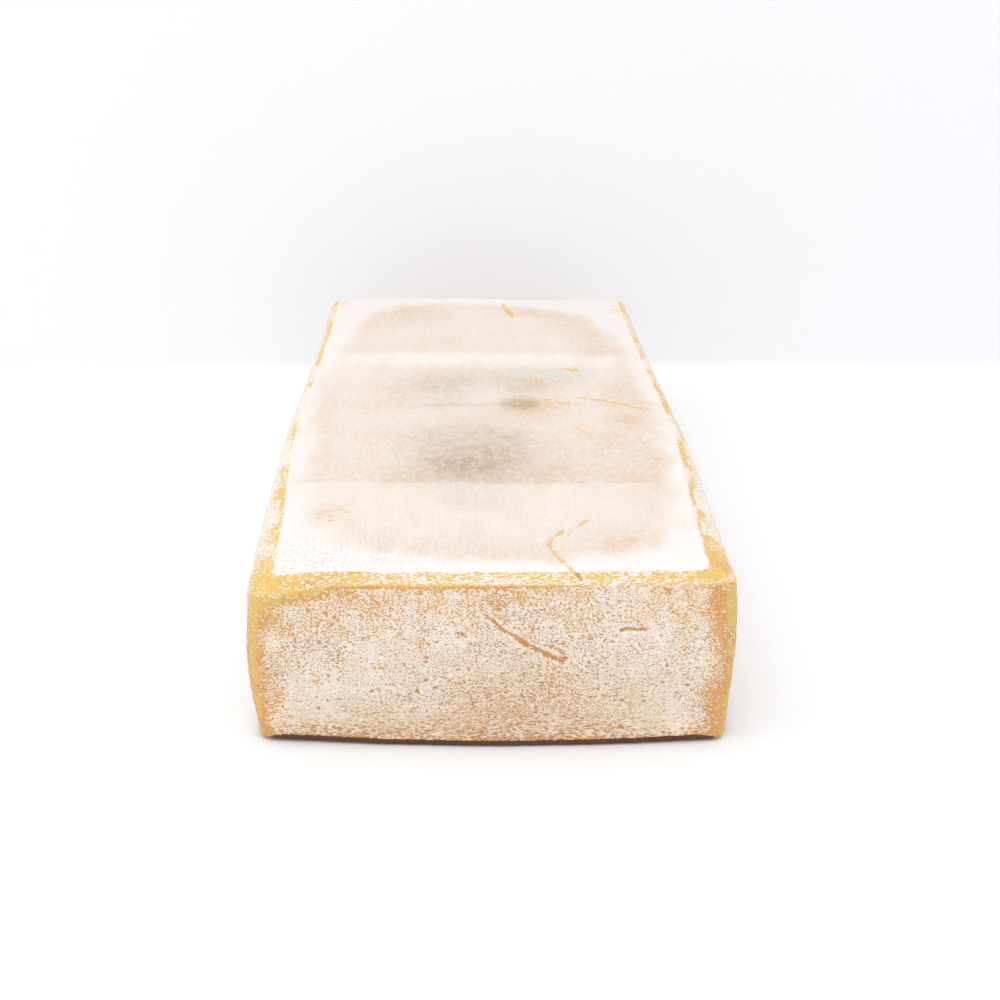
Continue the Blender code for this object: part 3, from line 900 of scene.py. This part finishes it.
def cloth_lines(n, place):
    """The imprint of the press cloth: 1 along its threads, those along Y first and those along X second."""
    axes = n.add("SeparateXYZ", Vector=place)
    wander = n.add("TexNoise", Vector=place, Scale=1 / CLOTH_WANDERS_OVER, Detail=0.0)
    shift = n.add("SeparateXYZ", Vector=wander.outputs["Color"])
    waves = []
    for axis in (0, 1):
        moved = n.plus(axes.outputs[axis], shift.outputs[axis], CLOTH_WANDER)
        waves.append(n.math("COSINE", n.times(moved, math.tau / CLOTH_PITCH)))
    return waves


# The rind's grain and spots: size in metres, detail, roughness, and how each is drawn out along X, Y and Z
EVEN_GRAIN = (0.00054, 2.0, 0.60, (0.8, 0.9, 1.2))
DRAWN_GRAIN = (0.00072, 2.0, 0.60, (0.50, 1.0, 1.7))
WOVEN_GRAIN = (0.00150, 1.0, 0.50, (1.0, 0.52, 1.0))
EVEN_SPOTS = (0.0036, 2.0, 0.60, (1.0, 1.0, 1.0))
WOVEN_SPOTS = (0.0036, 2.0, 0.60, (1.0, 0.52, 1.0))
PIT_SPACING = 0.0034
PIT_STRETCH = (1.0, 1.0, 1.35)
LARGEST_PIT = 0.26
FEW_LARGE_PITS = 2.5

# Where each part of the look starts, and where it is full
RAMPS = {
    "bare": (-0.04, 0.05),
    "off the ridge line": (1.75, 1.45),
    "crumbs": (-0.07, -0.17),
    "thinner crumbs": (0.5, 1.0),
    "yellow crumbs": (0.75, 1.05),
    "crumbs in rind": (0.0, -0.12),
    "pit": (0.05, 0.0),
    "pit's size": (0.02, 0.05),
    "pale edge": (0.17, 0.07),
    "edge's size": (0.08, 0.14),
    "orange": (0.05, 0.65),
    "amber": (0.75, 1.15),
    "veil": (-0.1, 1.2),
    "thin bloom": (-0.2, 1.3),
    "yellow bloom": (0.08, 0.65),
    "rind in bloom": (0.5, 0.9),
    "row": (0.0, 0.9),
    "row's grain": (-0.04, 0.05),
    "dash": (-1.2, 0.2),
    "column": (0.1, 1.0),
    "imprint's grain": (-0.10, 0.12),
    "browned": (0.9, 2.2),
    "stain": (0.30, 0.95),
    "stain's reach": (0.03, 0.35),
    "crack": (0.46, 0.53),
    "lip": (0.37, 0.42),
    "lip's inside": (0.50, 0.44),
    "crack's bottom": (0.50, 0.72),
    # The foot's band of painted shade
    "foot": (0.35, 0.65),
}


def rind_material(finish):
    """One rind: bare rind from brown to orange, under bloom from white to beige, broken up by fine grain."""
    material, shader, n = new_material("washed_rind")
    place = n.add("TexCoord").outputs["Object"]
    tone = {name: (*getattr(finish, name), 1.0) for name in finish.__annotations__}
    mask = {name: n.mask(name) for name in MASKS}
    top, rim = mask["top"], mask["rim"]

    # Grain and spots round 0: even on the walls, drawn out along the rim and near the foot, along Y on the top
    on_walls = n.blend(mask["streak"], n.noise(place, *EVEN_GRAIN), n.noise(place, *DRAWN_GRAIN))
    grain = n.plus(n.blend(top, on_walls, n.noise(place, *WOVEN_GRAIN)), -0.5)
    spots = n.plus(n.blend(top, n.noise(place, *EVEN_SPOTS), n.noise(place, *WOVEN_SPOTS)), -0.5)

    # Where bare rind shows, and where crumbs of bloom do: none of them on the bare line along the ridge. The crumbs
    # are partly painted highlight, brighter for the light that catches them
    level = n.plus(n.plus(grain, spots, 0.19), n.plus(mask["bare"], -0.5), 0.32)
    bare = n.times(n.ramp(level, "bare", "LINEAR"), n.blend(top, 1.0, 0.5))
    off_line = n.ramp(mask["bare"], "off the ridge line")
    crumbs = n.ramp(n.plus(grain, rim, -0.035), "crumbs")
    crumbs = n.times(crumbs, n.blend(top, n.blend(rim, 0.50, 0.90), 0.12))
    thinner = n.blend(n.ramp(mask["warm"], "thinner crumbs"), 1.0, n.blend(rim, 0.80, 0.85))
    crumbs = n.times(n.times(crumbs, off_line), thinner)

    # Pits of many sizes, each edged with a whitish ring that is painted highlight
    cells = n.add("TexVoronoi", Vector=n.stretched(place, PIT_STRETCH), Scale=1 / PIT_SPACING)
    chance = n.add("SeparateColor", Color=cells.outputs["Color"])
    size = n.times(n.math("POWER", chance.outputs[0], FEW_LARGE_PITS), n.times(mask["pits"], LARGEST_PIT))
    away = n.plus(n.plus(cells.outputs["Distance"], grain, -0.9), size, -1.0)
    pit = n.times(n.ramp(away, "pit"), n.ramp(size, "pit's size"))
    pit_highlight = n.times(n.ramp(away, "pale edge"), n.ramp(size, "edge's size"))

    # The colours of the bare rind and of the bloom on the walls and the top
    warm = n.plus(mask["warm"], spots, 1.1)
    rind = n.mix(n.ramp(warm, "orange"), tone["brown"], tone["orange"])
    rind = n.mix(n.ramp(warm, "amber"), rind, tone["amber"])
    rind = n.mix(n.times(n.times(n.ramp(grain, "crumbs in rind"), 0.25), off_line), rind, tone["crust"])
    veil = n.ramp(mask["veil"], "veil")
    wall_bloom = n.mix(n.ramp(n.plus(mask["veil"], grain, 4.0), "thin bloom"), tone["bloom"], tone["thin_bloom"])
    wall_bloom = n.mix(n.ramp(warm, "yellow bloom"), wall_bloom, tone["yellow_bloom"])
    wall_bloom = n.mix(n.times(n.ramp(warm, "rind in bloom"), 0.35), wall_bloom, rind)
    top_bloom = n.mix(veil, tone["thick_bloom"], tone["beige"])
    skin = n.mix(n.plus(top, rim, 0.75), wall_bloom, top_bloom)
    skin = n.mix(bare, skin, rind)
    crumb = n.mix(n.ramp(mask["bare"], "yellow crumbs"), tone["crust"], tone["yellow_bloom"])
    skin = n.mix(crumbs, skin, crumb)
    # Painted highlight round the pits' edges
    skin = n.mix(n.times(pit_highlight, 0.5), skin, tone["crust"])
    skin = n.mix(n.times(pit, 0.9), skin, n.mix(0.35, tone["brown"], tone["orange"]))

    # The cloth's imprint: rows of dashes in the white border, columns inside
    columns, rows = cloth_lines(n, place)
    dashes = n.times(n.ramp(rows, "row"), n.times(n.ramp(grain, "row's grain"), n.ramp(columns, "dash")))
    upright = n.times(n.ramp(columns, "column"), n.plus(0.65, rows, 0.35))
    imprint = n.times(n.blend(veil, dashes, upright), n.times(mask["cloth"], top))
    imprint = n.times(imprint, n.plus(0.4, n.ramp(n.plus(grain, spots, 0.5), "imprint's grain"), 0.6))
    skin = n.mix(n.math("MULTIPLY", imprint, 0.55, clamp=True), skin, tone["tan"])

    # The top's brown parts, mould and stains
    mottle = n.plus(0.80, n.plus(n.times(grain, 0.6), spots, 0.8), 1.5)
    browned = n.times(n.ramp(n.plus(mask["veil"], grain, 1.5), "browned"), top)
    skin = n.mix(browned, skin, tone["tan"])
    skin = n.mix(n.math("MULTIPLY", mask["mould"], mottle, clamp=True), skin, tone["mould"])
    skin = n.mix(n.math("MULTIPLY", mask["green"], n.times(mottle, 0.8), clamp=True), skin, tone["green"])
    stain = n.ramp(n.plus(mask["stain"], n.plus(grain, spots, 0.4), 1.6), "stain")
    stain = n.times(stain, n.times(n.ramp(mask["stain"], "stain's reach"), 0.75))
    skin = n.mix(stain, skin, tone["amber"])

    # Cracks with whitish edges on the walls, which are painted highlight, and the foot's dark line, which is painted
    # shade for the shadow under its rounded edge
    ragged = n.plus(n.plus(mask["crack"], grain, n.blend(top, 0.45, 0.25)), spots, 0.30)
    crack = n.times(n.ramp(ragged, "crack"), n.blend(top, 0.95, 0.75))
    # Whitish edges beside the cracks on the walls: painted highlight
    lip_highlights = n.times(n.times(n.ramp(ragged, "lip"), n.ramp(ragged, "lip's inside")), n.blend(top, 0.6, 0.0))
    skin = n.mix(lip_highlights, skin, tone["crust"])
    gap = n.mix(n.ramp(ragged, "crack's bottom"), tone["orange"], tone["crack"])
    skin = n.mix(crack, skin, n.mix(top, gap, tone["amber"]))
    skin = n.mix(n.ramp(n.plus(mask["foot"], grain, 0.8), "foot"), skin, tone["foot"])
    n.put(shader.inputs["Base Color"], skin)

    n.put(shader.inputs["Roughness"], n.plus(0.86, n.times(bare, n.blend(top, 0.28, 0.05)), -1.0))
    shader.inputs["Specular IOR Level"].default_value = 0.4

    # The fine relief, in millimetres
    height = n.plus(n.times(bare, -0.20), grain, -0.8)
    height = n.times(height, n.blend(top, 1.0, 0.45))
    height = n.plus(n.plus(n.plus(height, imprint, -0.20), crack, -0.30), pit, -0.35)
    bump = n.add("Bump", Strength=0.5, Distance=MM, Height=height)
    n.put(shader.inputs["Normal"], bump.outputs["Normal"])
    return material


def paper_material(tone):
    """Matt paper that shows from its front alone, so that it hides nothing from behind or below."""
    material, shader, n = new_material("cove_paper")
    shader.inputs["Base Color"].default_value = (*tone, 1.0)
    shader.inputs["Roughness"].default_value = 1.0
    shader.inputs["Specular IOR Level"].default_value = 0.0
    n.put(shader.inputs["Alpha"], n.plus(1.0, n.add("NewGeometry").outputs["Backfacing"], -1.0))
    return material


def link(name, data):
    """A new object in the scene."""
    obj = bpy.data.objects.new(name, data)
    bpy.context.scene.collection.objects.link(obj)
    return obj


def new_piece(name, mesh, material):
    data = bpy.data.meshes.new(name)
    mesh.to_mesh(data)
    mesh.free()
    data.materials.append(material)
    return link(name, data)


# --- Operators


class CHEESE_OT_rind(bpy.types.Operator):
    """Builds the loaf's rind"""

    bl_idname = "cheese.rind"
    bl_label = "Rind"

    def execute(self, context):
        shape = context.scene.loaf_shape
        mesh, inside_layer = smooth_loaf(shape)
        finish_rind(mesh, shape, inside_layer)
        settle_in_box(mesh)
        rind = new_piece("loaf_rind", mesh, rind_material(context.scene.rind_finish))
        rind.data.shade_smooth()
        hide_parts("cheese_loaf")
        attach(rind, "root")
        return {"FINISHED"}


COVE_SIZE = 6.0
COVE_BACK = 0.256
COVE_RADIUS = 0.004
COVE_SEGMENTS = 12
AIMED_AT = Vector((0.0, 0.0, 0.03))
# The lights: where each is, and its size
LIGHTS = {
    "top": ((-0.15, -0.20, 1.50), 1.6),
    "front": ((0.00, -0.90, 1.50), 1.6),
    "left": ((-1.20, -0.30, 0.80), 1.0),
}


def add_light(name, power):
    place, size = LIGHTS[name]
    light = bpy.data.lights.new(name, "AREA")
    light.energy = power
    light.size = size
    obj = link(name, light)
    obj.location = place
    obj.rotation_euler = (AIMED_AT - obj.location).to_track_quat("-Z", "Y").to_euler()


def floor(middle_y):
    """A square floor."""
    mesh = bmesh.new()
    middle = Matrix.Translation((0.0, middle_y, 0.0))
    bmesh.ops.create_grid(mesh, x_segments=1, y_segments=1, size=COVE_SIZE / 2, matrix=middle)
    return mesh


def cove():
    """A floor whose back edge turns up into a backdrop."""
    mesh = floor(COVE_BACK - COVE_SIZE / 2)
    back = [e for e in mesh.edges if all(v.co.y > COVE_BACK - MM for v in e.verts)]
    raised = bmesh.ops.extrude_edge_only(mesh, edges=back)["geom"]
    bmesh.ops.translate(mesh, verts=[v for v in raised if isinstance(v, bmesh.types.BMVert)], vec=(0, 0, COVE_SIZE))
    bmesh.ops.bevel(
        mesh, geom=back, offset=COVE_RADIUS, segments=COVE_SEGMENTS, profile=0.5, affect="EDGES", material=-1
    )
    bmesh.ops.recalc_face_normals(mesh, faces=mesh.faces)
    if max(mesh.faces, key=lambda face: face.calc_area()).normal.dot(Vector((0, -1, 1))) < 0:
        bmesh.ops.reverse_faces(mesh, faces=mesh.faces)
    return mesh


class CHEESE_OT_studio(bpy.types.Operator):
    """Builds the floor with its backdrop, the lights and the camera"""

    bl_idname = "cheese.studio"
    bl_label = "Studio"

    def execute(self, context):
        look = context.scene.studio_look
        paper = paper_material(look.paper)
        backdrop = new_piece("cove", cove(), paper)
        backdrop.data.shade_smooth()
        # The floor on the far side of the backdrop, for views from behind
        new_piece("far_floor", floor(COVE_BACK - COVE_RADIUS + COVE_SIZE / 2), paper)
        world = bpy.data.worlds.new("even_light")
        world.use_nodes = True
        world.node_tree.nodes["Background"].inputs["Color"].default_value = (1.0, 1.0, 1.0, 1.0)
        world.node_tree.nodes["Background"].inputs["Strength"].default_value = look.even
        context.scene.world = world
        for name in LIGHTS:
            add_light(name, getattr(look, name))
        add_camera(context.scene)
        context.scene.view_settings.view_transform = "Standard"
        return {"FINISHED"}


CAMERA_PLACE = (-0.00919, -0.67392, 0.25472)
CAMERA_YAW = -1.365
CAMERA_PITCH = 70.246
CAMERA_ROLL = 0.108
CAMERA_LENS = 61.2
CAMERA_SENSOR = 36.0


def add_camera(scene):
    camera = bpy.data.cameras.new("camera")
    camera.lens = CAMERA_LENS
    camera.sensor_width = CAMERA_SENSOR
    obj = link("camera", camera)
    turn = Matrix.Rotation(math.radians(CAMERA_YAW), 4, "Z")
    tilt = Matrix.Rotation(math.radians(CAMERA_PITCH), 4, "X")
    roll = Matrix.Rotation(math.radians(CAMERA_ROLL), 4, "Z")
    obj.matrix_world = Matrix.Translation(CAMERA_PLACE) @ turn @ tilt @ roll
    scene.camera = obj


GROUPS = {"loaf_shape": LoafShape, "rind_finish": RindFinish, "studio_look": StudioLook}
OPERATORS = (CHEESE_OT_rind, CHEESE_OT_studio)


class CHEESE_PT_panel(bpy.types.Panel):
    """The cheese's pieces and their settings"""

    bl_label = "Cheese"
    bl_idname = "CHEESE_PT_panel"
    bl_space_type = "VIEW_3D"
    bl_region_type = "UI"
    bl_category = "Cheese"

    def draw(self, context):
        for operator in OPERATORS:
            self.layout.operator(operator.bl_idname)
        for group in GROUPS:
            settings = getattr(context.scene, group)
            for name in settings.__annotations__:
                self.layout.prop(settings, name)


CLASSES = (*GROUPS.values(), *OPERATORS, CHEESE_PT_panel)


def register():
    for cls in CLASSES:
        bpy.utils.register_class(cls)
    for name, group in GROUPS.items():
        setattr(bpy.types.Scene, name, bpy.props.PointerProperty(type=group))


def unregister():
    for name in GROUPS:
        delattr(bpy.types.Scene, name)
    for cls in reversed(CLASSES):
        bpy.utils.unregister_class(cls)


def main():
    register()
    bpy.ops.cheese.rind()
    bpy.ops.cheese.studio()


if __name__ == "__main__":
    main()
